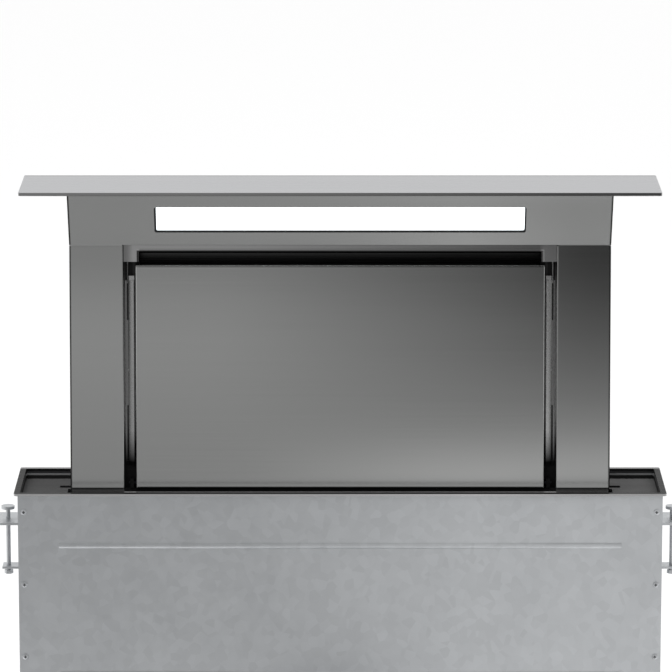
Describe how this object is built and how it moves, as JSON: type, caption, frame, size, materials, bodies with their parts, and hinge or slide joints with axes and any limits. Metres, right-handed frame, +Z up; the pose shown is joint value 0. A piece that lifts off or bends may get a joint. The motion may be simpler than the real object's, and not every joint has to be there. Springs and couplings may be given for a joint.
{
  "type": "downdraft vent",
  "caption": "Retractable downdraft vent: a stainless tower with a lit head and a tilting front panel that lifts out of a worktop frame, with its housing, screw lift and blower below.",
  "frame": {"origin": "centre of the worktop cut-out at the worktop's surface, which is the underside of the frame", "axes": "+X to the right seen from the hob, +Y to the back away from the hob, +Z up along the tower's travel"},
  "size_m": [0.934, 0.339, 1.054],
  "materials": {
    "brushed_stainless": "fine horizontal brushing",
    "bright_stainless": "polished",
    "zinc_sheet": "zinc-plated, dull",
    "dark_steel": "dark satin",
    "black_rubber": "matt",
    "black_plastic": "matt",
    "nylon": "natural",
    "brass": "turned",
    "aluminium": "satin",
    "lit_diffuser": "opal, lit from behind",
    "circuit_board": "satin"
  },
  "bodies": {
    "housing": {"top_frame": "bright_stainless", "frame_gasket": "black_rubber", "recess_tray": "dark_steel", "housing_rear": "zinc_sheet", "housing_front": "zinc_sheet", "housing_base": "zinc_sheet", "worktop_clamp_right": "zinc_sheet", "worktop_clamp_left": "zinc_sheet", "guide_rail_right": "zinc_sheet", "guide_rail_left": "zinc_sheet", "upper_bearing_right": "aluminium", "upper_bearing_left": "aluminium", "lower_bearing_right": "aluminium", "lower_bearing_left": "aluminium", "timing_belt": "black_rubber", "lift_motor": "black_plastic", "motor_bracket": "zinc_sheet", "blower_scroll": "zinc_sheet", "blower_cover": "zinc_sheet", "blower_motor": "aluminium", "outlet_collar": "zinc_sheet", "control_box": "zinc_sheet", "control_lid": "zinc_sheet", "control_board": "circuit_board"},
    "tower": {"cap_plate": "brushed_stainless", "head_shell": "brushed_stainless", "light_gasket": "black_rubber", "light_diffuser": "lit_diffuser", "light_tray": "aluminium", "light_strip": "circuit_board", "pillar_cover_right": "brushed_stainless", "pillar_cover_left": "brushed_stainless", "tower_carcass": "zinc_sheet", "filter_frame": "dark_steel", "grease_filter_right": "aluminium", "grease_filter_left": "aluminium", "filter_handle_right": "black_plastic", "filter_handle_left": "black_plastic", "upper_lip": "brushed_stainless", "side_channel_right": "brushed_stainless", "side_channel_left": "brushed_stainless", "ledge_bar": "bright_stainless", "foot_sheet": "dark_steel", "carriage_right": "zinc_sheet", "carriage_left": "zinc_sheet", "slider_right": "nylon", "slider_left": "nylon", "lift_nut_right": "brass", "lift_nut_left": "brass"},
    "front_door": {"front_panel": "brushed_stainless", "panel_hinge_pin_right": "dark_steel", "panel_hinge_pin_left": "dark_steel"},
    "screw_left": {"lead_screw_left": "bright_stainless", "belt_pulley_left": "aluminium"},
    "screw_right": {"lead_screw_right": "bright_stainless", "belt_pulley_right": "aluminium"},
    "fan": {"blower_wheel": "black_plastic", "motor_shaft": "bright_stainless"},
    "flap_rear": {"damper_flap_rear": "black_plastic"},
    "flap_front": {"damper_flap_front": "black_plastic"}
  },
  "joints": [
    {"name": "tower_lift", "type": "slide", "parent": "housing", "child": "tower", "axis": [0, 0, 1], "range_m": [-0.411, 0]},
    {"name": "panel_tilt", "type": "hinge", "parent": "tower", "child": "front_door", "pos_m": [0, -0.01757, 0.00448], "axis": [1, 0, 0], "range_deg": [0, 9]},
    {"name": "screw_left_turn", "type": "hinge", "parent": "housing", "child": "screw_left", "pos_m": [-0.392, 0.027, -0.3], "axis": [0, 0, 1], "continuous": true},
    {"name": "screw_right_turn", "type": "hinge", "parent": "housing", "child": "screw_right", "pos_m": [0.392, 0.027, -0.3], "axis": [0, 0, 1], "continuous": true},
    {"name": "fan_spin", "type": "hinge", "parent": "housing", "child": "fan", "pos_m": [0, -0.125, -0.44], "axis": [0, 1, 0], "continuous": true},
    {"name": "flap_rear_swing", "type": "hinge", "parent": "housing", "child": "flap_rear", "pos_m": [0.251, -0.146, -0.528], "axis": [0, 0, -1], "range_deg": [0, 75], "stiffness_Nm_per_rad": 0.02},
    {"name": "flap_front_swing", "type": "hinge", "parent": "housing", "child": "flap_front", "pos_m": [0.251, -0.154, -0.528], "axis": [0, 0, 1], "range_deg": [0, 75], "stiffness_Nm_per_rad": 0.02}
  ],
  "couplings": [
    {"joint": "screw_left_turn", "follows": "tower_lift", "rad_per_m": -314.16},
    {"joint": "screw_right_turn", "follows": "tower_lift", "rad_per_m": -314.16}
  ]
}
